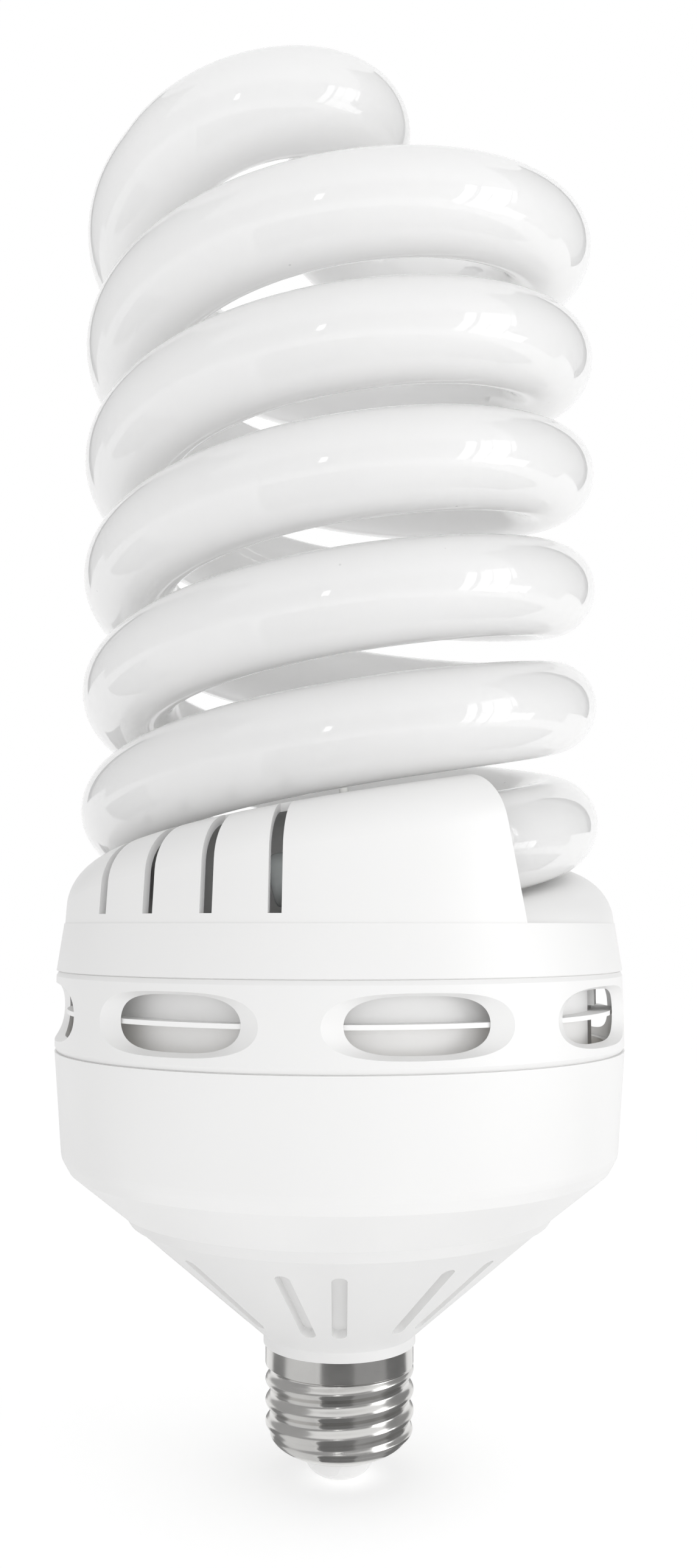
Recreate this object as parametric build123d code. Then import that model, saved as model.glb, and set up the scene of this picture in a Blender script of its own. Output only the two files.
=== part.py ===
"""Spiral compact fluorescent lamp with a vented ballast housing and an E27 screw cap.

The lamp stands upright, cap down. +Z is up and the origin is the lowest point of the
centre contact. Azimuths are in degrees, 0 is the front (-Y) and they grow towards +X.
The tube's two arms and the cover that holds them repeat after half a turn.
"""

from math import atan, atan2, cos, degrees, pi, radians, sin, tan
import os

from build123d import *

os.makedirs("parts", exist_ok=True)

body_r = 50.0               # widest radius, at the bowl's rim

# Glass tube
tube_d = 16.3
coil_r = body_r - 12.15     # centre line of the coil
lead = 41.7                 # rise of one arm in one turn
front_height = 16.1         # centre of arm A above the cover seam, at the front
bend_start = 1030.0         # azimuth where arm A leaves the coil for the top bend
bend_rise = 12.9            # how far the bend climbs to the axis
arc_step = 45.0             # the centre line is made of arcs of this angle
tube_arcs = 23              # arcs from the hidden tube end to the top bend

# Screw cap
contact_r = 2.6
contact_face = 0.2          # how far the contact stands out of the insulator
contact_stem_r = 1.2
shell_in = 11.75            # bore of the rolled sheet
shell_skin = 0.45
thread_reach = 1.3          # from the bore to the thread's crest
shell_root_r = shell_in + shell_skin
shell_r = shell_in + thread_reach           # thread crest and plain band
shell_dome_r = shell_root_r - 0.5
shell_dome = 7.5
shell_foot_r = shell_root_r - 3.8
shell_foot = 4.4
insulator_tip_r = 3.2
insulator_mid_r = shell_foot_r - 2.4
insulator_mid_height = 2.4
insulator_depth = 3.4       # how far the insulator reaches up inside the shell
shell_height = 18.7         # from its foot to the collar
shell_band = 3.9            # plain band over the thread
thread_pitch = 3.63
thread_turns = 3.2
thread_fill = 0.46          # half the ridge's width over the pitch
band_step = 0.4

# Lower cone
collar_step = 0.35          # how far the collar stands out over the shell
collar_r = shell_r + collar_step
collar_height = 1.7
neck_gap = 0.2
neck_depth = 10.0
neck_wall = 1.4
cone_height = 20.5
cone_top_r = body_r - 13.4
cone_wall = 2.6
band_r = body_r - 11.7
band_height = 2.1
band_foot_r = body_r - 13.0
slot_w = 2.5
slot_len = 20.7
slot_depth = 1.5
slot_mid_r = 25.3
slot_pair = 16.0            # azimuth between the two slots of a pair
pair_step = 48.0
pair_count = 7
pair_mid = -8.0             # azimuth of the middle pair

# Ballast bowl
bowl_foot_r = body_r - 11.2
bowl_shoulder_rise = 7.1
bowl_shoulder_r = body_r - 2.7
bowl_corner_rise = 2.4
bowl_wall_r = body_r - 1.35
bowl_wall_height = 17.85
bowl_wall = 2.2
ledge_drop = 4.65           # board ledge below the bowl's rim
ledge_w = 4.6
ledge_t = 1.6
bowl_round = 3.0

# Vent ring, slipped over the lips of the bowl and the cover
ring_height = 13.75
ring_taper = 0.2            # how much narrower its top is than the bowl's rim
ring_t = 1.6
ring_bevel_h = 0.9
ring_bevel_t = 0.35
groove_h = 0.2              # shadow gap at both seams
groove_depth = 0.6
lip_t = 1.3
lip_h = 1.2
lip_gap = 0.15
window_count = 8
window_mid = 14.15          # azimuth of the first window
window_w = 29.4             # between its outer ends
window_reach = 17.0         # azimuth from its middle to its outer end
window_flare = 4.6          # how fast the ends open outwards
window_end = 0.82           # share of each half that is rounded
window_h = 8.6
window_lean = 0.33

# Inner drums and the plate between them
drum_gap = 3.8              # between the ring and the drums
drum_wall = 1.2
plate_t = 0.75
plate_gap = 0.3
plate_height = 6.35         # plate's underside above the bowl's rim
notch_az = 75.0
notch_w = 7.6
post_w = 4.6
post_t = 2.4
post_end_gap = 0.8
post_gap = 0.4              # how far the post stands inside the drum's wall
lead_hole_r = 1.4

# Cover that holds the tube
cover_taper = 1.2
deck_height = 8.05
deck_t = 1.8
draft = 0.074               # how far the hood leans in for each mm of height
hood_ledge = 0.15           # the hood's wall stands this far inside the deck's edge
hood_wall = 1.3
hood_start = -158.0         # azimuth where the hood comes out of the deck
room_start = -130.0
hood_az = 33.5              # azimuth of the hood's end face
hood_run_on = 8.0           # how much further it is swept before that face is cut
hood_over_tube = tube_d / 2 + 3.45      # hood top above the tube's centre line
hood_inner_r = coil_r - tube_d / 2 - 0.5    # at the deck's height
hood_inner_round = 5.0
hood_shoulder = 8.0
mouth_gap = 0.25
hood_slots = (-50.7, -37.2, -24.2, -11.25)
hood_slot_w = 2.1
hood_slot_foot = 9.5
hood_slot_depth = 9.3
dab_az = 1.0
dab_w = 1.4
dab_gap = 0.08

# Circuit board and what it carries
board_t = 1.6
board_gap = 0.25
lead_wire_r = 0.4
seal_r = 4.2
seal_len = 7.0
seal_round = 1.0

can_d = 18.0
can_len = 32.0
can_round = 0.8
choke_w = 25.0
choke_t = 7.0
choke_h = 19.0
choke_leg = 3.4
choke_post = 7.0
choke_x = -24.0
choke_y = 4.0
toroid_r = 4.6
toroid_t = 4.0
toroid_x = body_r - 38.0
toroid_y = 17.0
winding_t = 0.6
winding_gap = 0.05
winding_angle = 50.0
winding_count = 3
transistor_w = 10.0
transistor_t = 4.4
transistor_h = 9.0
transistor_leg = 3.0
transistor_pitch = 2.54
transistor_x = 24.0
transistor_y = -4.0
transistor_step = 12.0
tab_t = 1.3
tab_h = 6.0
tab_hole_r = 1.8
leg_w = 0.8
film_w = 13.0
film_t = 6.0
film_h = 11.0
film_round = 0.8
film_gap = 1.5
film_x = -4.0
film_y = -18.0
filter_r = 4.5
filter_h = 11.0
flange_t = 1.2
filter_x = -16.0
filter_y = 22.0
thermistor_r = 4.0
thermistor_t = 2.6
thermistor_x = 29.0
thermistor_y = 8.0
fuse_r = 2.2
fuse_len = 10.0
fuse_x = -2.0
fuse_y = 28.0
diode_r = 1.35
diode_len = 5.2
diode_x = body_r - 26.0
diode_y = body_r - 34.0
diode_step = 4.0
diode_count = 4
live_x = 14.0
live_y = 4.0
neutral_x = -10.0
neutral_y = 15.0
neutral_end = 1.5           # how far the neutral lead passes the neck's end
lead_turn = 14.0            # height over the collar where the cap leads turn inwards
wire_bend = 4.0
lead_gap = 0.3

# Heights of the joints, from the contact upwards
collar_foot = shell_foot + shell_height
cone_foot = collar_foot + collar_height
cone_top = cone_foot + cone_height
bowl_foot = cone_top + band_height
bowl_shoulder = bowl_foot + bowl_shoulder_rise
bowl_corner = bowl_shoulder + bowl_corner_rise
bowl_rim = bowl_corner + bowl_wall_height
seam = bowl_rim + ring_height
deck = seam + deck_height
deck_under = deck - deck_t
ledge = bowl_rim - ledge_drop
board_top = ledge + board_t
plate_foot = bowl_rim + plate_height
plate_top = plate_foot + plate_t

# Radii that follow from others
ring_top_r = body_r - ring_taper
ring_in = ring_top_r - ring_t
lip_out = ring_in - lip_gap
lip_in = lip_out - lip_t
drum_r = ring_in - drum_gap
cover_foot_r = ring_top_r
cover_deck_r = cover_foot_r - cover_taper
hood_outer_r = cover_deck_r - hood_ledge
neck_r = shell_root_r - shell_skin - neck_gap
tube_r = tube_d / 2

beyond = 3 * body_r         # reaches past everything, for cutting shapes
overlap = 1.0               # how far shapes that are joined or cut run into each other
shortest_run = 0.05         # straight bits of a path below this are left out
half_turn = Rotation(0, 0, 180)


def polar(az, r, z):
    """The point at an azimuth, a distance from the axis and a height."""
    return Vector(r * sin(radians(az)), -r * cos(radians(az)), z)


def turned(az, shape):
    """Turn a shape that was drawn on +X to an azimuth."""
    return Rotation(0, 0, az - 90) * shape


def turned_solid(*points):
    """Revolve a closed outline, given as (radius, height), about the axis."""
    outline = Polyline(*[(r, 0, z) for r, z in points], close=True)
    return revolve(make_face(outline), Axis.Z)


def tube_height(az):
    """Height of arm A's centre line at an azimuth on the coil."""
    return seam + front_height + lead * az / 360


def save(name, shape):
    """Write one piece, or one group of like pieces, as a STEP file."""
    export_step(shape, f"parts/{name}.step")
    print(f"{name}: {len(shape.solids())} solid, {shape.volume / 1000:.2f} cm3")


# Glass tube: each arm is a coil of equal arcs, then the half circle that carries it to the
# axis. Its corners are where the tangents at the ends of neighbouring arcs meet.
bend_r = coil_r / 2
bend_foot = tube_height(bend_start)
bend_centre = polar(bend_start, coil_r - bend_r, 0)


def bend_height(turn):
    """Height of the centre line after a turn in the bend, level at the axis."""
    return bend_foot + bend_rise * sin(radians(turn / 2))


def arm_corners():
    """The tangent corners of arm A, from its hidden end to the axis."""
    outward = 1 / cos(radians(arc_step / 2))
    corners = []
    for k in reversed(range(tube_arcs)):
        az = bend_start - (k + 0.5) * arc_step
        corners.append(polar(az, coil_r * outward, tube_height(az)))
    for k in range(round(180 / arc_step)):
        turn = (k + 0.5) * arc_step
        corners.append(bend_centre + polar(bend_start + turn, bend_r * outward, bend_height(turn)))
    return corners


def arc_path(points):
    """Join a route's points with one arc at each corner, as large as its runs allow."""
    edges = []
    here = points[0]
    for before, corner, after in zip(points, points[1:], points[2:]):
        room_in = (corner - here).length
        room_out = (after - corner).length
        if after is not points[-1]:
            room_out = room_out / 2
        reach = min(room_in, room_out)
        first = corner + (before - corner).normalized() * reach
        last = corner + (after - corner).normalized() * reach
        if (first - here).length > shortest_run:
            edges.append(Line(here, first))
        heading = (corner - before).normalized()
        edges.append(TangentArc(first, last, tangent=heading))
        here = last
    if (points[-1] - here).length > shortest_run:
        edges.append(Line(here, points[-1]))
    return Wire([edge.edge() for edge in edges])


tube_end_az = bend_start - tube_arcs * arc_step
tube_end = polar(tube_end_az, coil_r, tube_height(tube_end_az))
arm = arm_corners()
other_arm = [Vector(-p.X, -p.Y, p.Z) for p in reversed(arm)]
other_end = Vector(-tube_end.X, -tube_end.Y, tube_end.Z)
tube_path = arc_path([tube_end] + arm + other_arm + [other_end])
end_heading = (arm[0] - tube_end).normalized()
seal_az = tube_end_az - degrees(seal_len / 2 / coil_r)
tube_section = Plane(origin=tube_end, z_dir=end_heading) * Circle(tube_r)
spiral_tube = sweep(tube_section, path=tube_path)
save("spiral_tube", spiral_tube)
print("tube volume over section times length",
      spiral_tube.volume / (pi * tube_r**2 * tube_path.length))

# Glass stems that close the tube's two ends
seal = extrude(Plane(origin=tube_end, z_dir=-end_heading) * Circle(seal_r), seal_len)
seal_tip = tube_end - end_heading * seal_len
seal = fillet(seal.edges().filter_by(GeomType.CIRCLE).sort_by_distance(seal_tip)[0], seal_round)
save("tube_seal_a", seal)
save("tube_seal_b", half_turn * seal)

# Cover: a drum with two rising hoods, each swept along a helix under the tube above it
hood_mid = tube_height(hood_az)
hood_point = polar(hood_az, coil_r, hood_mid)
climb = lead / (2 * pi * coil_r)
hood_normal = Vector(cos(radians(hood_az)), sin(radians(hood_az)), climb).normalized()
draft_angle = atan(draft)
shoulder_reach = hood_shoulder * (1 - sin(draft_angle)) / cos(draft_angle)


def hood_outline(wall):
    """Radial section of the hood, its top at height 0, set in by a wall."""
    inner = hood_inner_r + wall
    round_in = hood_inner_round - wall
    round_out = hood_shoulder - wall
    centre = hood_outer_r - shoulder_reach
    middle = (pi / 2 + draft_angle) / 2
    wall_r = centre + round_out * cos(draft_angle)
    wall_top = round_out * sin(draft_angle) - hood_shoulder
    foot = -body_r
    lines = Line((inner, 0, foot), (inner, 0, -wall - round_in))
    lines += ThreePointArc(
        (inner, 0, -wall - round_in),
        (inner + round_in * (1 - cos(pi / 4)), 0, -wall - round_in * (1 - sin(pi / 4))),
        (inner + round_in, 0, -wall),
    )
    lines += Line((inner + round_in, 0, -wall), (centre, 0, -wall))
    lines += ThreePointArc(
        (centre, 0, -wall),
        (centre + round_out * cos(middle), 0, round_out * sin(middle) - hood_shoulder),
        (wall_r, 0, wall_top),
    )
    lines += Polyline(
        (wall_r, 0, wall_top), (wall_r + draft * (wall_top - foot), 0, foot), (inner, 0, foot))
    return make_face(lines)


def hood_sweep(wall, az_from, az_to):
    """The hood's volume between two azimuths. Its radii shrink with the draft as it climbs."""
    top = tube_height(az_from) + hood_over_tube
    rise = lead * (az_to - az_from) / 360
    path = Pos(0, 0, top) * Helix(
        pitch=lead / cos(draft_angle), height=rise / cos(draft_angle), radius=coil_r,
        cone_angle=-degrees(draft_angle))
    section = Pos(draft * (deck - top), 0, top) * hood_outline(wall)
    return turned(az_from, sweep(section, path=path, is_frenet=True))


def hood_room(wall, az_from, foot):
    """The hood from an azimuth to its end face, above a height."""
    plane = Plane(origin=hood_point - hood_normal * wall, z_dir=hood_normal)
    ahead = plane * Box(beyond, beyond, beyond, align=(Align.CENTER, Align.CENTER, Align.MIN))
    below = Pos(0, 0, foot) * Cylinder(beyond, beyond, align=(Align.CENTER, Align.CENTER, Align.MAX))
    return hood_sweep(wall, az_from, hood_az + hood_run_on) - ahead - below


def both(shape):
    """A shape and its copy half a turn round."""
    return shape + half_turn * shape


drum = turned_solid((0, seam), (cover_foot_r, seam), (cover_deck_r, deck), (0, deck))
inside = Pos(0, 0, seam - overlap) * Cylinder(
    lip_in, deck_under - seam + overlap, align=(Align.CENTER, Align.CENTER, Align.MIN))
lip = turned_solid(
    (lip_in, seam - lip_h), (lip_out, seam - lip_h), (lip_out, seam + overlap), (lip_in, seam + overlap))
mouth = Plane(origin=hood_point - hood_normal * 2 * hood_wall, z_dir=hood_normal) * Cylinder(
    tube_r + mouth_gap, 4 * hood_wall, align=(Align.CENTER, Align.CENTER, Align.MIN))
slots = Part() + [
    turned(az, Pos(cover_foot_r - hood_slot_depth, 0, seam + hood_slot_foot) * Box(
        body_r, hood_slot_w, body_r, align=(Align.MIN, Align.CENTER, Align.MIN)))
    for az in hood_slots
]
post_in = drum_r - drum_wall - post_gap
post_leg = turned(notch_az, Pos(post_in, 0, plate_top + post_end_gap) * Box(
    post_t, post_w, deck_under - plate_top - post_end_gap, align=(Align.MIN, Align.CENTER, Align.MIN)))
post_block = turned(notch_az, Pos(post_in, 0, seam) * Box(
    lip_out - post_in, post_w, deck_height - deck_t, align=(Align.MIN, Align.CENTER, Align.MIN)))
tube_holder = drum + both(hood_room(0, hood_start, seam))
tube_holder -= inside
tube_holder -= both(hood_room(hood_wall, room_start, deck_under - overlap))
tube_holder -= both(mouth)
tube_holder -= both(slots)
tube_holder += lip
tube_holder += both(post_leg + post_block)
save("tube_holder", tube_holder)

# Dabs of glue between each hood and the pass of the tube above it
dab_foot = tube_height(dab_az) + hood_over_tube
dab_top = tube_height(dab_az + 180) - tube_r
dab_forward = polar(dab_az + 90, 1, climb).normalized()
dab_plane = Plane(
    origin=polar(dab_az, coil_r, (dab_foot + dab_top) / 2),
    x_dir=dab_forward,
    z_dir=polar(dab_az, 1, 0).cross(dab_forward))
dab_h = (dab_top - dab_foot) * dab_forward.dot(polar(dab_az + 90, 1, 0)) - 2 * dab_gap
dab = dab_plane * Cylinder(dab_w / 2, dab_h)
dab -= Plane(origin=polar(dab_az, coil_r, dab_top + tube_r), z_dir=dab_forward) * Cylinder(
    tube_r + 2 * dab_gap, 4 * dab_w)
save("glue_dabs", both(dab))

# Vent ring with flared oval windows and a shadow gap at each seam
ring = turned_solid(
    (ring_in, bowl_rim),
    (body_r - groove_depth, bowl_rim),
    (body_r - groove_depth, bowl_rim + groove_h),
    (body_r - ring_bevel_t, bowl_rim + groove_h),
    (body_r, bowl_rim + ring_bevel_h),
    (ring_top_r, seam - ring_bevel_h),
    (ring_top_r - ring_bevel_t, seam - groove_h),
    (ring_top_r - groove_depth, seam - groove_h),
    (ring_top_r - groove_depth, seam),
    (ring_in, seam),
)


def window_outline(distance):
    """The window's outline on a flat plane at a distance from the axis, its ends half ellipses."""
    half_w = window_w / 2 + window_flare * (distance - ring_top_r * cos(radians(window_reach)))
    half_h = window_h / 2 + window_lean * (distance - ring_in)
    flat = half_w * (1 - window_end)
    outline = Line((-flat, -half_h), (flat, -half_h))
    outline += EllipticalCenterArc((flat, 0), half_w * window_end, half_h, -90, arc_size=180)
    outline += Line((flat, half_h), (-flat, half_h))
    outline += EllipticalCenterArc((-flat, 0), half_w * window_end, half_h, 90, arc_size=180)
    middle = bowl_rim + ring_height / 2
    return Plane(origin=(distance, 0, middle), x_dir=(0, 1, 0), z_dir=(1, 0, 0)) * make_face(outline)


window = loft([window_outline(ring_in - 2 * overlap), window_outline(body_r + overlap)], ruled=True)
vent_ring = ring
for k in range(window_count):
    vent_ring -= turned(window_mid + k * 360 / window_count, window)
save("vent_ring", vent_ring)

# Inner drums: a wall above and one below a thin plate that reaches out to the ring
notch = turned(notch_az, Pos(drum_r, 0, bowl_rim) * Box(4 * drum_wall, notch_w, beyond))
upper_drum = turned_solid(
    (drum_r - drum_wall, plate_top), (drum_r, plate_top),
    (drum_r, deck_under), (drum_r - drum_wall, deck_under))
upper_drum -= both(notch)
save("upper_drum", upper_drum)
lower_drum = turned_solid(
    (drum_r - drum_wall, board_top), (drum_r, board_top),
    (drum_r, plate_foot), (drum_r - drum_wall, plate_foot))
lower_drum -= both(notch)
save("lower_drum", lower_drum)

lead_spots = [polar(seal_az, coil_r + side * seal_r / 2, 0) for side in (-1, 1)]
lead_spots += [Vector(-p.X, -p.Y, 0) for p in lead_spots]
plate = Pos(0, 0, plate_foot) * Cylinder(
    ring_in - plate_gap, plate_t, align=(Align.CENTER, Align.CENTER, Align.MIN))
for spot in lead_spots:
    plate -= Pos(spot.X, spot.Y, plate_foot) * Cylinder(lead_hole_r, 4 * plate_t)
save("partition_plate", plate)

# Ballast bowl: a tapering cup with a ledge for the board and a lip for the ring
bowl_slope = atan2(bowl_shoulder_rise, bowl_shoulder_r - bowl_foot_r)
bowl_side = bowl_wall / sin(bowl_slope)
ballast_bowl = turned_solid(
    (bowl_foot_r, bowl_foot),
    (bowl_shoulder_r, bowl_shoulder),
    (bowl_wall_r, bowl_corner),
    (body_r, bowl_rim),
    (lip_out, bowl_rim),
    (lip_out, bowl_rim + lip_h),
    (lip_in, bowl_rim + lip_h),
    (lip_in, ledge),
    (lip_in - ledge_w, ledge),
    (lip_in - ledge_w, ledge - ledge_t),
    (lip_in, ledge - ledge_t - ledge_w),
    (bowl_wall_r - bowl_wall, bowl_corner),
    (bowl_shoulder_r - bowl_wall, bowl_shoulder + bowl_wall / 2),
    (bowl_foot_r - bowl_side, bowl_foot),
)
corner = ballast_bowl.edges().filter_by(GeomType.CIRCLE).filter_by(
    lambda e: abs(e.center().Z - bowl_corner) + abs(e.radius - bowl_wall_r) < ring_bevel_t / 10)
ballast_bowl = fillet(corner, bowl_round)
save("ballast_bowl", ballast_bowl)

# Lower cone with its collar, its neck in the screw shell and paired slots
cone_slope = atan2(cone_height, cone_top_r - collar_r)
cone_side = cone_wall / sin(cone_slope)
cap_cone = turned_solid(
    (neck_r, collar_foot - neck_depth),
    (neck_r, collar_foot),
    (collar_r, collar_foot),
    (collar_r, cone_foot),
    (cone_top_r, cone_top),
    (band_foot_r, cone_top),
    (band_r, bowl_foot),
    (bowl_foot_r - bowl_side, bowl_foot),
    (cone_top_r - cone_side, cone_top),
    (neck_r - neck_wall, cone_foot + (neck_r - neck_wall + cone_side - collar_r) * tan(cone_slope)),
    (neck_r - neck_wall, collar_foot - neck_depth),
)
slot_height = cone_foot + (slot_mid_r - collar_r) * tan(cone_slope)
slope_out = Vector(sin(cone_slope), 0, -cos(cone_slope))
slot_plane = Plane(
    origin=(slot_mid_r, 0, slot_height), x_dir=(cos(cone_slope), 0, sin(cone_slope)), z_dir=slope_out)
pocket = extrude(slot_plane.offset(-slot_depth) * SlotOverall(slot_len, slot_w), slot_depth + overlap)
first_pair = pair_mid - pair_step * (pair_count - 1) / 2
for k in range(pair_count):
    for side in (-0.5, 0.5):
        cap_cone -= turned(first_pair + k * pair_step + side * slot_pair, pocket)
save("cap_cone", cap_cone)

# Screw shell: thin sheet with a rounded thread, a plain band above and a dome below
shell_lip = collar_foot
thread_foot = shell_lip - shell_band - thread_pitch * thread_turns
shell_body = turned_solid(
    (shell_foot_r, shell_foot),
    (shell_dome_r, shell_dome),
    (shell_root_r, thread_foot),
    (shell_root_r, shell_lip - shell_band),
    (shell_r, shell_lip - shell_band + band_step),
    (shell_r, shell_lip),
    (shell_in, shell_lip),
    (shell_in, thread_foot),
    (shell_dome_r - shell_skin, shell_dome + shell_skin / 2),
    (shell_foot_r - shell_skin, shell_foot + shell_skin),
    (shell_foot_r - shell_skin, shell_foot),
)
ridge_half = thread_pitch * thread_fill
ridge_root = shell_root_r - shell_skin / 2
ridge_path = Pos(0, 0, thread_foot) * Helix(
    pitch=thread_pitch, height=thread_pitch * thread_turns, radius=shell_root_r)
ridge_face = Pos(0, 0, thread_foot) * make_face(
    Line((ridge_root, 0, -ridge_half), (ridge_root, 0, ridge_half))
    + ThreePointArc((ridge_root, 0, ridge_half), (shell_r, 0, 0), (ridge_root, 0, -ridge_half)))
ridge = sweep(ridge_face, path=ridge_path, is_frenet=True)
screw_shell = shell_body + ridge
save("screw_shell", screw_shell)

# Insulator in the end of the shell, and the contact riveted through it
insulator_out = shell_foot_r - shell_skin
cap_insulator = turned_solid(
    (contact_stem_r, contact_face),
    (insulator_tip_r, contact_face),
    (insulator_mid_r, insulator_mid_height),
    (insulator_out, shell_foot),
    (insulator_out, shell_foot + insulator_depth),
    (contact_stem_r, shell_foot + insulator_depth),
)
save("cap_insulator", cap_insulator)
contact_top = shell_foot + insulator_depth + overlap
centre_contact = turned_solid(
    (0, 0),
    (contact_r, 0),
    (contact_r, contact_face),
    (contact_stem_r, contact_face),
    (contact_stem_r, contact_top),
    (0, contact_top),
)
save("centre_contact", centre_contact)

# Circuit board, clamped between the bowl's ledge and the lower drum
board = Pos(0, 0, ledge) * Cylinder(
    lip_in - board_gap, board_t, align=(Align.CENTER, Align.CENTER, Align.MIN))
save("circuit_board", board)

up = (Align.CENTER, Align.CENTER, Align.MAX)


def hang(x, y, shape):
    """Hang a part, drawn with its top at height 0, under the board."""
    return Pos(x, y, ledge) * shape


can = hang(0, 0, Cylinder(can_d / 2, can_len, align=up))
save("storage_capacitor", fillet(can.edges().filter_by(GeomType.CIRCLE), can_round))

# Choke: an E core round a bobbin with its winding
core = Box(choke_w, choke_t, choke_h, align=up)
gap_w = (choke_w - 2 * choke_leg - choke_post) / 2
for side in (-1, 1):
    hole = Box(gap_w, choke_t + overlap, choke_h - 2 * choke_leg, align=up)
    core -= Pos(side * (choke_post + gap_w) / 2, 0, -choke_leg) * hole
save("choke_core", hang(choke_x, choke_y, core))
coil = Box(choke_w - 2 * choke_leg, choke_t + 2 * gap_w, choke_h - 2 * choke_leg, align=up)
coil = fillet(coil.edges().filter_by(Axis.Z), gap_w / 2)
coil -= Box(choke_post, choke_t, choke_h, align=up)
save("choke_winding", hang(choke_x, choke_y, Pos(0, 0, -choke_leg) * coil))

# Base drive ring: a small ferrite toroid with three windings
toroid_height = ledge - toroid_t / 2 - winding_t - winding_gap
toroid = Pos(toroid_x, toroid_y, toroid_height) * Torus(toroid_r, toroid_t / 2)
turns = Torus(toroid_r, toroid_t / 2 + winding_t, major_angle=winding_angle)
turns -= Torus(toroid_r, toroid_t / 2 + winding_gap)
windings = Part() + [
    Pos(toroid_x, toroid_y, toroid_height) * Rotation(0, 0, k * 360 / winding_count) * turns
    for k in range(winding_count)
]
save("drive_toroid", toroid)
save("drive_windings", windings)

# Switching transistors: a plastic body with a metal tab
body = Box(transistor_w, transistor_t, transistor_h, align=up)
tab = Pos(0, (transistor_t - tab_t) / 2, -transistor_h) * (
    Box(transistor_w, tab_t, tab_h, align=up) - Rotation(90, 0, 0) * Pos(0, -tab_h / 2, 0)
    * Cylinder(tab_hole_r, 4 * tab_t))
transistor = Pos(0, 0, -transistor_leg) * (body + tab)
for k, name in enumerate(("switching_transistor_a", "switching_transistor_b")):
    legs = Part() + [
        Pos(n * transistor_pitch, 0, 0) * Box(leg_w, leg_w, transistor_leg, align=up)
        for n in (-1, 0, 1)
    ]
    save(name, hang(transistor_x, transistor_y - k * transistor_step, transistor + legs))

# Film capacitors, a drum choke, the thermistor, the fuse and the rectifier diodes
film = fillet(Box(film_w, film_t, film_h, align=up).edges().filter_by(Axis.Z), film_round)
save("resonant_capacitor", hang(film_x, film_y, film))
save("blocking_capacitor", hang(film_x, film_y - film_t - film_gap, film))
filter_choke = Cylinder(filter_r, flange_t, align=up)
filter_choke += Cylinder(filter_r - 2 * flange_t, filter_h, align=up)
filter_choke += Pos(0, 0, flange_t - filter_h) * Cylinder(filter_r, flange_t, align=up)
save("filter_choke", hang(filter_x, filter_y, filter_choke))
disc = Pos(0, 0, -thermistor_r) * Rotation(90, 0, 0) * Cylinder(thermistor_r, thermistor_t)
save("thermistor", hang(thermistor_x, thermistor_y, disc))
fuse = Pos(0, 0, -fuse_r) * Rotation(0, 90, 0) * Cylinder(fuse_r, fuse_len)
save("fuse_resistor", hang(fuse_x, fuse_y, fuse))
diode = Pos(0, 0, -diode_r) * Rotation(0, 90, 0) * Cylinder(diode_r, diode_len)
diodes = Part() + [hang(diode_x, diode_y + k * diode_step, diode) for k in range(diode_count)]
save("rectifier_diodes", diodes)


def wire(points, radius=lead_wire_r, bend=wire_bend):
    """A round wire along a route, bent with one radius at every corner."""
    route = FilletPolyline(*points, radius=bend)
    return sweep(Plane(origin=points[0], z_dir=route % 0) * Circle(radius), path=route)


# Cap leads: one down the neck to the contact, one to the side of the shell
live = wire([
    (live_x, live_y, ledge), (live_x, live_y, cone_foot + lead_turn),
    (0, 0, cone_foot), (0, 0, contact_top)])
save("live_lead", live)
neck_in = neck_r - neck_wall - 2 * lead_wire_r
neutral = wire([
    (neutral_x, neutral_y, ledge), (neutral_x, neutral_y, cone_foot + lead_turn),
    (-neck_in, 0, cone_foot), (-neck_in, 0, collar_foot - neck_depth - neutral_end)])
save("neutral_lead", neutral)

# Filament leads, from each tube end down through the plate to the board
for name, turn in (("filament_leads_a", 0), ("filament_leads_b", 180)):
    pair = Part() + [
        Rotation(0, 0, turn) * Pos(spot.X, spot.Y, board_top) * Cylinder(
            lead_wire_r, tube_height(seal_az) - seal_r - board_top - lead_gap,
            align=(Align.CENTER, Align.CENTER, Align.MIN))
        for spot in lead_spots[:2]
    ]
    save(name, pair)
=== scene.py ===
# %% [markdown]
# # A spiral compact fluorescent lamp
#
# The lamp is a glass tube wound into a double spiral, held by a vented white housing that
# ends in a cone and a screw cap. This notebook dresses the CAD model of the lamp: it sets
# up the camera and the studio, works out the smooth surfaces with numpy, and gives every
# part its finish.

from math import atan2, pi, tau

import bpy
import numpy as np
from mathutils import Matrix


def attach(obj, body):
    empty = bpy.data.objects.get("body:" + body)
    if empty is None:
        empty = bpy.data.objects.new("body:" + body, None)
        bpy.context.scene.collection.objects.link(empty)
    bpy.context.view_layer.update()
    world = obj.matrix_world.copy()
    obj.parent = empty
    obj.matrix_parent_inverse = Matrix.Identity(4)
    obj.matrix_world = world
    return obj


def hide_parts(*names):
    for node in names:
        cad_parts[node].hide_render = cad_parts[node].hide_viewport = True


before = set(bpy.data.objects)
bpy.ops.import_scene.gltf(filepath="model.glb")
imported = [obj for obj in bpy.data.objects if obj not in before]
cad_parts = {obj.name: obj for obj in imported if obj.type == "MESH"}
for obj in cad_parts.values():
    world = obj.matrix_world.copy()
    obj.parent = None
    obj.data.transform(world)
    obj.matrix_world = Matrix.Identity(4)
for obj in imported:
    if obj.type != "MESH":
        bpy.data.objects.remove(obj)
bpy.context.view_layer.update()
scene = bpy.context.scene
MM = 0.001

# %% [markdown]
# ## The camera
#
# The photograph was taken from close by, a quarter of a metre from the lamp's axis and level
# with its housing, so the coil is seen from below. The lens and the shift are written
# in pixels of the photograph, because that is how they were measured.

# %% Camera
PHOTO_W, PHOTO_H = 1145, 2576
SENSOR = 36.0
focal_px = 2212.56
centre_px = (557.68, 1379.56)       # where the line of sight meets the photograph
camera_y, camera_z = -243.27, 96.34
camera_pitch = 0.0628

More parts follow.
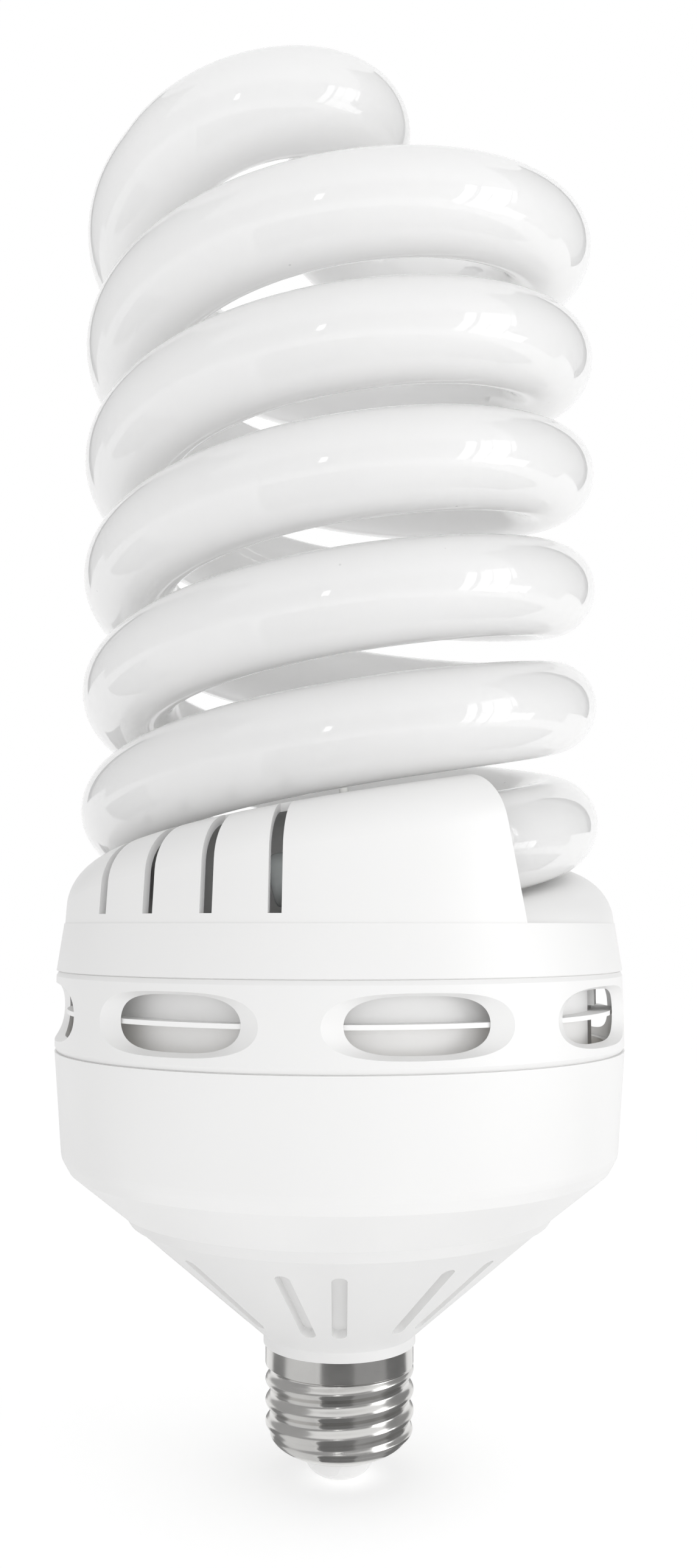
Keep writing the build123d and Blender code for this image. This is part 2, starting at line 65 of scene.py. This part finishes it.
lens = bpy.data.cameras.new("camera")
lens.sensor_width = SENSOR
lens.lens = focal_px * SENSOR / PHOTO_H
lens.shift_x = (PHOTO_W / 2 - centre_px[0]) / PHOTO_H
lens.shift_y = (centre_px[1] - PHOTO_H / 2) / PHOTO_H
lens.clip_start, lens.clip_end = 0.01, 20
camera = bpy.data.objects.new("camera", lens)
scene.collection.objects.link(camera)
camera.location = (0, camera_y * MM, camera_z * MM)
camera.rotation_euler = (pi / 2 + camera_pitch, 0, 0)
scene.camera = camera
scene.view_settings.view_transform = "Standard"
scene.cycles.max_bounces = scene.cycles.diffuse_bounces = 12    # white on white needs many
print(f"lens {lens.lens:.2f} mm, shift {lens.shift_x:.4f} {lens.shift_y:.4f}")

# %% [markdown]
# ## Nodes in few words
#
# Every finish below is a small node tree. Short helpers keep them readable: one adds a node
# and fills its sockets, one starts a material and hands back its shader, and the others give
# noise, ranges, blends and bumps.

# %% Helpers for node trees
def add_node(tree, kind, **inputs):
    """Add a node. A socket's value is a number, a colour or another node's output."""
    node = tree.nodes.new(kind)
    for name, value in inputs.items():
        socket = node.inputs[name]
        if isinstance(value, bpy.types.NodeSocket):
            tree.links.new(value, socket)
        else:
            socket.default_value = value
    return node


def start_finish(name):
    """A new material with a Principled shader, its tree and the object's own coordinates."""
    material = bpy.data.materials.new(name)
    material.use_nodes = True
    tree = material.node_tree
    shader = tree.nodes["Principled BSDF"]
    place = tree.nodes.new("ShaderNodeTexCoord").outputs["Object"]
    return material, tree, shader, place


def noise(tree, place, scale, detail=3.0, stretch=(1, 1, 1)):
    """Noise from 0 to 1. Its scale counts waves in a metre, stretched along the axes."""
    mapping = add_node(tree, "ShaderNodeMapping", Vector=place, Scale=stretch)
    texture = add_node(
        tree, "ShaderNodeTexNoise", Vector=mapping.outputs[0], Scale=scale, Detail=detail)
    return texture.outputs[0]


def between(tree, factor, low, high, from_low=0.3, from_high=0.7):
    """Map a factor to a range of numbers, held at both ends."""
    node = add_node(tree, "ShaderNodeMapRange", Value=factor)
    node.inputs["From Min"].default_value = from_low
    node.inputs["From Max"].default_value = from_high
    node.inputs["To Min"].default_value = low
    node.inputs["To Max"].default_value = high
    return node.outputs[0]


def blend_colours(tree, factor, first, second):
    """Mix two colours, or the outputs of two other nodes."""
    node = tree.nodes.new("ShaderNodeMix")
    node.data_type = "RGBA"
    for socket, value in ((0, factor), (6, first), (7, second)):
        if isinstance(value, bpy.types.NodeSocket):
            tree.links.new(value, node.inputs[socket])
        else:
            node.inputs[socket].default_value = value
    return node.outputs[2]


def bump(tree, normal, height, millimetres, strength=1.0):
    """Raise the surface that a normal socket sees by a height from 0 to 1 times a depth."""
    node = add_node(
        tree, "ShaderNodeBump", Height=height, Distance=millimetres * MM, Strength=strength)
    tree.links.new(node.outputs[0], normal)


WHITE = (1, 1, 1, 1)


def grey(level, warmth=0.0):
    """A near-neutral colour. Warmth takes a little off the blue."""
    return (level, level * (1 - warmth / 3), level * (1 - warmth), 1)


# %% [markdown]
# ## The studio
#
# White on white is the hard part of this picture. The world is plain white where the camera,
# gloss or glass looks at it, and softer where it lights the lamp, so that white plastic
# stays below white. The floor is a light table under pale paper. Its even glow lights the
# lamp from below as in the photograph; it is a little stronger where it is seen, which
# lifts the paper to white and leaves the shadow.

# %% World and floor
def seen_directly(tree):
    """1 for a ray from the camera, from gloss or through glass, else 0."""
    rays = tree.nodes.new("ShaderNodeLightPath").outputs
    seen = rays["Is Camera Ray"]
    for kind in ("Is Glossy Ray", "Is Transmission Ray"):
        node = add_node(tree, "ShaderNodeMath")
        node.operation = "MAXIMUM"
        tree.links.new(seen, node.inputs[0])
        tree.links.new(rays[kind], node.inputs[1])
        seen = node.outputs[0]
    return seen


ROOM_LEVEL = 0.8
world = bpy.data.worlds.new("studio")
world.use_nodes = True
scene.world = world
tree = world.node_tree
room = tree.nodes["Background"]
room.inputs["Strength"].default_value = ROOM_LEVEL
room.inputs["Color"].default_value = WHITE
backdrop = add_node(tree, "ShaderNodeBackground", Color=WHITE, Strength=1.0)
mix = tree.nodes.new("ShaderNodeMixShader")
tree.links.new(seen_directly(tree), mix.inputs[0])
tree.links.new(room.outputs[0], mix.inputs[1])
tree.links.new(backdrop.outputs[0], mix.inputs[2])
tree.links.new(mix.outputs[0], tree.nodes["World Output"].inputs["Surface"])

FLOOR_SIDE = 3.0
PAPER_LEVEL = 0.82
TABLE_GLOW, GLOW_SEEN = 0.3, 0.345
corner = FLOOR_SIDE / 2
floor_mesh = bpy.data.meshes.new("floor")
floor_mesh.from_pydata(
    [(-corner, -corner, 0), (corner, -corner, 0), (corner, corner, 0), (-corner, corner, 0)],
    [], [(0, 1, 2, 3)])
floor = bpy.data.objects.new("floor", floor_mesh)
scene.collection.objects.link(floor)
paper, tree, shader, place = start_finish("pale_paper")
shader.inputs["Base Color"].default_value = grey(PAPER_LEVEL)
shader.inputs["Roughness"].default_value = 1.0
shader.inputs["Specular IOR Level"].default_value = 0.0
glow_strength = between(tree, seen_directly(tree), TABLE_GLOW, GLOW_SEEN, 0, 1)
glow = add_node(tree, "ShaderNodeEmission", Color=WHITE, Strength=glow_strength)
both = tree.nodes.new("ShaderNodeAddShader")
tree.links.new(shader.outputs[0], both.inputs[0])
tree.links.new(glow.outputs[0], both.inputs[1])
tree.links.new(both.outputs[0], tree.nodes["Material Output"].inputs["Surface"])
floor_mesh.materials.append(paper)
print(f"room at {ROOM_LEVEL}, floor {FLOOR_SIDE} m wide glows at {TABLE_GLOW}")

# %% Softboxes
def softbox(name, place, aim, size, watts):
    """A square lamp at a place, turned towards a point, both in millimetres.

    Gloss doesn't see it, so that it leaves no square of light on the glass.
    """
    light = bpy.data.lights.new(name, "AREA")
    light.size = size * MM
    light.energy = watts
    lamp = bpy.data.objects.new(name, light)
    scene.collection.objects.link(lamp)
    lamp.location = np.array(place) * MM
    towards = np.array(aim, float) - np.array(place, float)
    flat = np.hypot(towards[0], towards[1])
    lamp.rotation_euler = (atan2(flat, -towards[2]), 0, atan2(-towards[0], towards[1]))
    lamp.visible_camera = False
    lamp.visible_glossy = False
    print(f"{name}: {size} mm, {watts} W")


softbox("front_light", (110, -480, 40), (0, 0, 95), 360, 0.38)
softbox("side_light", (520, -220, 90), (0, 0, 90), 380, 0.4)
softbox("low_light", (330, -260, 30), (0, 0, 40), 160, 0.12)

# %% [markdown]
# Glass and nickel are read by what they mirror. A tall window with glazing bars stands to
# the right of the lamp and a narrow one far behind the camera. Grey curtains hang round
# behind them, and pieces of grey cloth lie round the foot. Only gloss sees these, so they
# shape the highlights and leave the light alone. Where the glass turns away from the camera
# it mirrors the dark ends of the curtains and then the white backdrop past them, which
# draws its thin line and bright rim.

# %% What gloss sees
def for_gloss_only(name, corners, faces, brightness):
    """Flat pieces, in millimetres, that shine evenly and show in reflections alone."""
    mesh = bpy.data.meshes.new(name)
    mesh.from_pydata((np.asarray(corners, float) * MM).tolist(), [], faces)
    material = bpy.data.materials.new(name)
    material.use_nodes = True
    tree = material.node_tree
    tree.nodes.remove(tree.nodes["Principled BSDF"])
    light = add_node(tree, "ShaderNodeEmission", Color=WHITE, Strength=brightness)
    tree.links.new(light.outputs[0], tree.nodes["Material Output"].inputs["Surface"])
    mesh.materials.append(material)
    thing = bpy.data.objects.new(name, mesh)
    scene.collection.objects.link(thing)
    for ray in ("camera", "diffuse", "transmission", "volume_scatter", "shadow"):
        setattr(thing, "visible_" + ray, False)


def quads_of(corners):
    """One face for each run of four corners."""
    return [tuple(range(k, k + 4)) for k in range(0, len(corners), 4)]


def polar(az, r, z):
    """Points at azimuths: x is r sin(az), y is -r cos(az), so 0 degrees is the front."""
    angle = np.radians(az)
    return np.stack(np.broadcast_arrays(r * np.sin(angle), -r * np.cos(angle), z), -1)


def arc_band(name, az_from, az_to, first, second, brightness, steps=16):
    """A band for gloss between two arcs, each a radius and a height."""
    az = np.linspace(az_from, az_to, steps + 1)
    corners = np.vstack([polar(az, *first), polar(az, *second)])
    faces = [(k, k + 1, k + steps + 2, k + steps + 1) for k in range(steps)]
    for_gloss_only(name, corners, faces, brightness)


WINDOW_X = 540
WINDOW_PANES = (        # y from, y to, z from, z to
    (-407, -338, 20, 212), (-407, -338, 214, 398),
    (-312, -246, 20, 150), (-312, -246, 156, 185), (-312, -246, 191, 378), (-312, -246, 384, 400),
    (-240, -146, 20, 150), (-240, -146, 156, 185), (-240, -146, 191, 384), (-240, -146, 390, 408),
    (-139, -116, 24, 150), (-139, -116, 245, 400),
    (-118, -62, 52, 138), (-56, -12, 52, 138),
)
WINDOW_GLOW = 3.2
panes = [
    (WINDOW_X, y, z)
    for y0, y1, z0, z1 in WINDOW_PANES
    for y, z in ((y0, z0), (y0, z1), (y1, z1), (y1, z0))
]
for_gloss_only("window_panes", panes, quads_of(panes), WINDOW_GLOW)

FAR_WINDOW_Y, FAR_WINDOW_GLOW = -883, 6.0
far_pane = [(x, FAR_WINDOW_Y, z) for x, z in ((-90, 160), (-44, 160), (-44, 305), (-90, 305))]
for_gloss_only("far_window", far_pane, quads_of(far_pane), FAR_WINDOW_GLOW)

CLOTHS = (              # azimuth from, azimuth to, brightness
    (-116, -84, 0.25), (-84, -30, 0.72), (-27, 20, 0.18), (20, 70, 0.36), (70, 116, 0.18),
    (150, 212, 0.3),
)
CLOTH_IN, CLOTH_OUT, CLOTH_Z = 9, 420, 0.3
for number, (az_from, az_to, brightness) in enumerate(CLOTHS):
    arc_band(
        f"cloth_{number}", az_from, az_to, (CLOTH_IN, CLOTH_Z), (CLOTH_OUT, CLOTH_Z), brightness,
        steps=8)

CURTAINS = (            # azimuth from, azimuth to, z from, z to, brightness
    (-140, -134, 150, 1400, 0.0), (-134, -116, 150, 1400, 0.4), (-116, -58, 0, 1400, 0.4),
    (-58, 80, 0, 520, 0.4), (80, 116, 0, 1400, 0.3), (116, 134, 150, 1400, 0.3),
    (134, 140, 150, 1400, 0.0),
)
CURTAIN_R = 900
for number, (az_from, az_to, foot, head, brightness) in enumerate(CURTAINS):
    arc_band(
        f"curtain_{number}", az_from, az_to, (CURTAIN_R, foot), (CURTAIN_R, head), brightness)
print(f"{len(WINDOW_PANES)} panes, {len(CLOTHS)} cloths and {len(CURTAINS)} curtains for gloss")

# %% [markdown]
# ## Glass spiral
#
# The real tube is drawn glass, softened and wound on a grooved drum: two arms climb side
# by side and join over the top. A pipe along a curve object would do, but the exact coil is a
# short formula, so the surface is computed: a centre line, a frame of two directions across it,
# and a circle carried along.

# %% The tube's centre line
TUBE_R = 8.15
COIL_R = 37.85
LEAD = 41.7             # climb of one arm in a turn
SEAM = 88.5             # height of the seam between cover and ring
FRONT_HEIGHT = 16.1     # of arm A's centre over that seam, at azimuth 0
BEND_START = 1030.0     # azimuth where arm A leaves the coil for the top bend
BEND_RISE = 12.9
ARC_STEP = 45.0
COIL_ARCS, BEND_ARCS = 23, 4
STEPS_IN_ARC = 15


def tube_height(az):
    """Arm A climbs one lead in each turn."""
    return SEAM + FRONT_HEIGHT + LEAD * az / 360


def arm_line(steps):
    """Arm A from its hidden end to the lamp's axis, and the direction out of its bend.

    The coil is a circle in plan round the axis and the bend a circle of half its radius.
    Each 45 degree arc has a control height at its middle, on the coil's climb, or on a
    quarter sine wave in the bend; a quadratic B-spline through them gives the heights.
    """
    arcs = COIL_ARCS + BEND_ARCS
    u = np.linspace(0, arcs, arcs * steps + 1)
    middle = np.arange(-1, arcs + 1) + 0.5
    turn = (middle - COIL_ARCS) * ARC_STEP
    control = np.where(
        middle < COIL_ARCS,
        tube_height(BEND_START + turn),
        tube_height(BEND_START) + BEND_RISE * np.sin(np.radians(np.minimum(turn, 360 - turn) / 2)))
    k = np.minimum(u.astype(int), arcs - 1)
    f = u - k
    height = ((1 - f) ** 2 * control[k] + f ** 2 * control[k + 2]) / 2
    height += (0.5 + f - f ** 2) * control[k + 1]
    az = BEND_START + (u - COIL_ARCS) * ARC_STEP
    in_bend = (u > COIL_ARCS)[:, None]
    centre = np.where(in_bend, polar(BEND_START, COIL_R / 2, 0), 0)
    radius = np.where(u > COIL_ARCS, COIL_R / 2, COIL_R)
    outward = polar(az, 1, 0)
    line = centre + outward * radius[:, None]
    line[:, 2] = height
    return line, outward


HALF_TURN = (-1, -1, 1)         # what half a turn round the axis does to x, y and z
arm, arm_out = arm_line(STEPS_IN_ARC)
line = np.vstack([arm, (arm * HALF_TURN)[-2::-1]])
side = np.vstack([arm_out, arm_out[-2::-1]])
line_length = np.linalg.norm(np.diff(line, axis=0), axis=1).sum()
print(f"centre line of {len(line)} points, {line_length:.0f} mm long")

# %% [markdown]
# The second arm is the first turned by half a turn, and walked backwards. Its sideways
# direction points inwards there, which is the first arm's own direction again, so that the
# frame doesn't flip over at the top.

# %% Mesh helpers and the glass itself
def grid_faces(rows, cols, loop_rows=False, loop_cols=False):
    """Quads between neighbouring points of a grid, with either direction closed."""
    index = np.arange(rows * cols).reshape(rows, cols)
    if loop_rows:
        index = np.vstack([index, index[:1]])
    if loop_cols:
        index = np.hstack([index, index[:, :1]])
    corners = (index[:-1, :-1], index[1:, :-1], index[1:, 1:], index[:-1, 1:])
    return np.stack(corners, -1).reshape(-1, 4)


def make_piece(name, points, faces, finish, slot, *nodes):
    """A smooth piece of the lamp from points in millimetres, in place of CAD nodes."""
    mesh = bpy.data.meshes.new(name)
    mesh.from_pydata((points.reshape(-1, 3) * MM).tolist(), [], [list(map(int, f)) for f in faces])
    mesh.polygons.foreach_set("use_smooth", np.ones(len(mesh.polygons), bool))
    mesh.materials.append(finish)
    mesh.update()
    piece = bpy.data.objects.new(name, mesh)
    scene.collection.objects.link(piece)
    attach(piece, "root")
    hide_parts(*nodes)
    print(f"{name}: {len(mesh.polygons)} faces")
    return piece


def pipe(line, side, radius, around):
    """A circle carried along a line.

    Each point is the line's point plus the radius times (the cosine of the angle times the
    side direction, made square to the line, plus its sine times the direction square to both).
    """
    along = np.gradient(line, axis=0)
    along /= np.linalg.norm(along, axis=1)[:, None]
    side = side - (side * along).sum(1)[:, None] * along
    side /= np.linalg.norm(side, axis=1)[:, None]
    third = np.cross(along, side)
    a = np.arange(around) * tau / around
    ring = np.cos(a)[None, :, None] * side[:, None] + np.sin(a)[None, :, None] * third[:, None]
    return line[:, None] + radius * ring


# %% The glass finish
def opal_glass():
    """White phosphor seen through clear glass: a matt base under a smooth coat.

    The powder lies in slow clouds, and the glass has a faint wave and rare dark seeds.
    """
    material, tree, shader, place = start_finish("opal_glass")
    clouds = blend_colours(
        tree, between(tree, noise(tree, place, 55), 0, 1), grey(0.88), grey(0.91, 0.01))
    cells = add_node(tree, "ShaderNodeTexVoronoi", Vector=place, Scale=90)
    seeds = between(tree, cells.outputs["Distance"], 1, 0, 0.012, 0.03)
    tree.links.new(blend_colours(tree, seeds, clouds, grey(0.55)), shader.inputs["Base Color"])
    shader.inputs["Roughness"].default_value = 0.5
    shader.inputs["Specular IOR Level"].default_value = 0.3
    shader.inputs["Subsurface Weight"].default_value = 1.0
    shader.inputs["Subsurface Radius"].default_value = (1, 1, 1)
    shader.inputs["Subsurface Scale"].default_value = 45 * MM
    shader.inputs["Coat Weight"].default_value = 1.0
    shader.inputs["Coat Roughness"].default_value = 0.02
    shader.inputs["Coat IOR"].default_value = 1.5
    bump(tree, shader.inputs["Coat Normal"], noise(tree, place, 45, 1.0), 0.07)
    return material


AROUND = 48
tube_points = pipe(line, side, TUBE_R, AROUND)
rows = len(line)
tube_faces = [
    *grid_faces(rows, AROUND, loop_cols=True),
    range(AROUND),
    range(rows * AROUND - 1, (rows - 1) * AROUND - 1, -1),
]
make_piece(
    "glass_spiral", tube_points, tube_faces, opal_glass(), "phosphor_glass", "spiral_tube")

# %% [markdown]
# ## Moulded plastic
#
# The housing is moulded in white plastic with a satin surface. The CAD solids already have its
# walls, windows and slots, so they stay, and their finish adds what moulding leaves: a
# fine grain from the mould's eroded steel, and slow changes of gloss where the plastic
# flowed.

# %% Plastic finish
def moulded_plastic(name, level, roughness, grain_mm, warmth=0.006):
    """Satin plastic: slow clouds in colour and gloss over a fine grain."""
    material, tree, shader, place = start_finish(name)
    flow = noise(tree, place, 28, 2.0)
    colour = blend_colours(
        tree, between(tree, flow, 0, 1), grey(level * 0.985, warmth), grey(level, warmth))
    tree.links.new(colour, shader.inputs["Base Color"])
    gloss = between(tree, noise(tree, place, 70), roughness - 0.04, roughness + 0.05)
    tree.links.new(gloss, shader.inputs["Roughness"])
    shader.inputs["Specular IOR Level"].default_value = 0.45
    bump(tree, shader.inputs["Normal"], noise(tree, place, 2600, 2.0), grain_mm, 0.35)
    return material


white_plastic = moulded_plastic("white_plastic", 0.87, 0.42, 0.02)
# A lighter copy of the housing's white plastic for the drums and plate: painted light that lifts
# the shade they sit in behind the windows.
drum_plastic_painted_light = moulded_plastic("drum_plastic_painted_light", 0.95, 0.5, 0.02)
# A darker copy of the same white plastic for the cone: painted shade on its downward-facing slope.
cone_plastic_painted_shade = moulded_plastic("cone_plastic_painted_shade", 0.82, 0.45, 0.02)
print("three plastics: housing, drums and cone")

# %% [markdown]
# ## Screw cap
#
# The cap's shell is thin nickel-plated sheet, rolled to its thread between two wheels, so
# crest and groove are the same rounded wave. One formula in height and azimuth gives the
# dome, the thread and the plain band at once.

# %% Threaded shell
THREAD_PITCH = 3.63
THREAD_FOOT, THREAD_TOP, SHELL_LIP = 7.584, 19.2, 23.1
SHELL_R, SHELL_ROOT_R = 13.05, 12.2
SHELL_FOOT, SHELL_FOOT_R = 4.4, 8.4
SHELL_SKIN = 0.45
DOME_POWER = 1.9
THREAD_RISE_FROM, THREAD_RISE = -0.9, 1.6       # start, from the thread's foot, and height
BAND_RISE_FROM, BAND_RISE = -0.25, 0.6          # the same from the thread's top
CREST_AZ = 90           # azimuth where a crest passes the thread's foot


def smooth(t):
    """0 below 0, 1 above 1, and between them three times the square less twice the cube."""
    t = np.clip(t, 0, 1)
    return t * t * (3 - 2 * t)


def shell_radius(az, z):
    """Radius of the shell from azimuth and height.

    Below the thread's foot the root radius shrinks with a power of the depth, which makes the
    dome. Above it a cosine wave is added, from 0 to the thread's depth, whose crest climbs one
    pitch in each turn. Over the thread's top both fade into the plain band's radius.
    """
    depth = np.clip((THREAD_FOOT - z) / (THREAD_FOOT - SHELL_FOOT), 0, 1)
    dome = SHELL_ROOT_R - (SHELL_ROOT_R - SHELL_FOOT_R) * depth ** DOME_POWER
    turns = (z - THREAD_FOOT) / THREAD_PITCH - (az - CREST_AZ) / 360
    wave = (1 + np.cos(tau * turns)) / 2
    rise = smooth((z - THREAD_FOOT - THREAD_RISE_FROM) / THREAD_RISE)
    thread = (SHELL_R - SHELL_ROOT_R) * wave * rise
    band = smooth((z - THREAD_TOP - BAND_RISE_FROM) / BAND_RISE)
    return (dome + thread) * (1 - band) + SHELL_R * band


def plated_sheet():
    """Nickel plate over rolled sheet: fine rings round the axis and a few dull patches."""
    material, tree, shader, place = start_finish("nickel_plate")
    rings = noise(tree, place, 9, 4.0, stretch=(1, 1, 260))
    patches = noise(tree, place, 160)
    colour = blend_colours(
        tree, between(tree, patches, 0, 1), grey(0.66, 0.03), grey(0.74, 0.035))
    tree.links.new(colour, shader.inputs["Base Color"])
    shader.inputs["Metallic"].default_value = 1.0
    tree.links.new(between(tree, patches, 0.16, 0.26), shader.inputs["Roughness"])
    bump(tree, shader.inputs["Normal"], rings, 0.012, 0.5)
    return material


AZ_STEPS, Z_STEPS = 144, 180
z_rows = np.linspace(SHELL_FOOT, SHELL_LIP, Z_STEPS + 1)[:, None]
az_cols = np.arange(AZ_STEPS)[None, :] * 360 / AZ_STEPS
shell_points = polar(az_cols, shell_radius(az_cols, z_rows), z_rows)
shell = make_piece(
    "threaded_shell", shell_points, grid_faces(Z_STEPS + 1, AZ_STEPS, loop_cols=True)[:, ::-1],
    plated_sheet(), "nickel_plate", "screw_shell")
wall = shell.modifiers.new("wall", "SOLIDIFY")
wall.thickness = SHELL_SKIN * MM
wall.offset = -1

# %% [markdown]
# The shell is closed by a white insulator with the contact in its middle. The CAD solid has
# two straight slopes here; the real one is a round bowl, so it gets a curve of its own.

# %% Insulator
STEM_R, CONTACT_R, ROUND_R, BOWL_R = 1.2, 2.6, 6.3, 7.95
BOWL_FOOT, BOWL_TOP = 0.2, 7.8
BOWL_STEPS = 24


def insulator_profile(steps):
    """Radius and height pairs round the insulator's section, from its stem hole's foot.

    It is flat over the contact, then rounds up to the shell's foot in a quarter of an ellipse:
    the radius grows with the sine of the angle and the height with one less its cosine. From
    there it runs out to the bowl's radius and is closed inside the shell.
    """
    t = np.linspace(0, pi / 2, steps)
    r = CONTACT_R + (ROUND_R - CONTACT_R) * np.sin(t)
    z = SHELL_FOOT - (SHELL_FOOT - BOWL_FOOT) * np.cos(t)
    hidden = [(BOWL_R, SHELL_FOOT), (BOWL_R, BOWL_TOP), (STEM_R, BOWL_TOP)]
    return np.vstack([[(STEM_R, BOWL_FOOT)], np.stack([r, z], 1), hidden])


profile = insulator_profile(BOWL_STEPS)
insulator_points = polar(az_cols, profile[:, :1], profile[:, 1:])
insulator_faces = grid_faces(len(profile), AZ_STEPS, loop_rows=True, loop_cols=True)[:, ::-1]
make_piece(
    "insulator_bowl", insulator_points, insulator_faces,
    moulded_plastic("insulator_white", 0.88, 0.25, 0.01), "insulator_white", "cap_insulator")

# %% [markdown]
# ## Every other node
#
# What is left keeps its CAD solid: each node takes the finish of its own material. Drums,
# plate and cone are the same white plastic, but the drums and plate get a lighter copy as
# painted light and the cone a darker copy as painted shade.

# %% Simple finishes and the list of nodes
def plain_finish(name, colour, roughness, metallic, scale=300, grain_mm=0.02):
    """A small part's finish: two close tones in clouds, and a light grain."""
    material, tree, shader, place = start_finish(name)
    darker = (*[c * 0.86 for c in colour], 1)
    cloud = noise(tree, place, scale)
    tones = blend_colours(tree, between(tree, cloud, 0, 1), darker, (*colour, 1))
    gloss = between(tree, cloud, roughness - 0.05, roughness + 0.05)
    tree.links.new(tones, shader.inputs["Base Color"])
    tree.links.new(gloss, shader.inputs["Roughness"])
    shader.inputs["Metallic"].default_value = metallic
    bump(tree, shader.inputs["Normal"], noise(tree, place, 8 * scale), grain_mm, 0.3)
    return material


SIMPLE = {              # colour, roughness, metallic
    "stem_glass": ((0.82, 0.86, 0.86), 0.12, 0.0),
    "silicone": ((0.86, 0.86, 0.84), 0.45, 0.0),
    "contact_brass": ((0.74, 0.7, 0.6), 0.28, 1.0),
    "board_laminate": ((0.55, 0.42, 0.22), 0.6, 0.0),
    "capacitor_sleeve": ((0.05, 0.05, 0.06), 0.3, 0.0),
    "ferrite": ((0.12, 0.12, 0.13), 0.7, 0.0),
    "winding_tape": ((0.85, 0.68, 0.12), 0.35, 0.0),
    "hook_up_wire": ((0.65, 0.12, 0.1), 0.4, 0.0),
    "black_epoxy": ((0.06, 0.06, 0.06), 0.55, 0.0),
    "film_epoxy": ((0.5, 0.16, 0.08), 0.3, 0.0),
    "thermistor_epoxy": ((0.15, 0.3, 0.2), 0.35, 0.0),
    "fuse_coat": ((0.35, 0.5, 0.45), 0.5, 0.0),
    "tinned_wire": ((0.75, 0.75, 0.75), 0.3, 1.0),
}
finishes = {name: plain_finish(name, *look) for name, look in SIMPLE.items()}
finishes["white_plastic"] = white_plastic

NODES = {
    "white_plastic": [
        "tube_holder", "vent_ring", "upper_drum", "lower_drum", "partition_plate",
        "ballast_bowl", "cap_cone"],
    "stem_glass": ["tube_seal_a", "tube_seal_b"],
    "silicone": ["glue_dabs"],
    "contact_brass": ["centre_contact"],
    "board_laminate": ["circuit_board"],
    "capacitor_sleeve": ["storage_capacitor"],
    "ferrite": ["choke_core", "drive_toroid", "filter_choke"],
    "winding_tape": ["choke_winding"],
    "hook_up_wire": ["drive_windings", "live_lead", "neutral_lead"],
    "black_epoxy": ["switching_transistor_a", "switching_transistor_b", "rectifier_diodes"],
    "film_epoxy": ["resonant_capacitor", "blocking_capacitor"],
    "thermistor_epoxy": ["thermistor"],
    "fuse_coat": ["fuse_resistor"],
    "tinned_wire": ["filament_leads_a", "filament_leads_b"],
}
# Lighter and darker copies of the white plastic: painted light on the drums and plate, painted
# shade on the cone.
OWN_FINISH = {
    "upper_drum": drum_plastic_painted_light, "lower_drum": drum_plastic_painted_light, "partition_plate": drum_plastic_painted_light,
    "cap_cone": cone_plastic_painted_shade,
}
for slot_name, node_names in NODES.items():
    for node_name in node_names:
        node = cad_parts[node_name]
        node.data.materials.clear()
        node.data.materials.append(OWN_FINISH.get(node_name, finishes[slot_name]))
print(sum(map(len, NODES.values())), "nodes dressed")
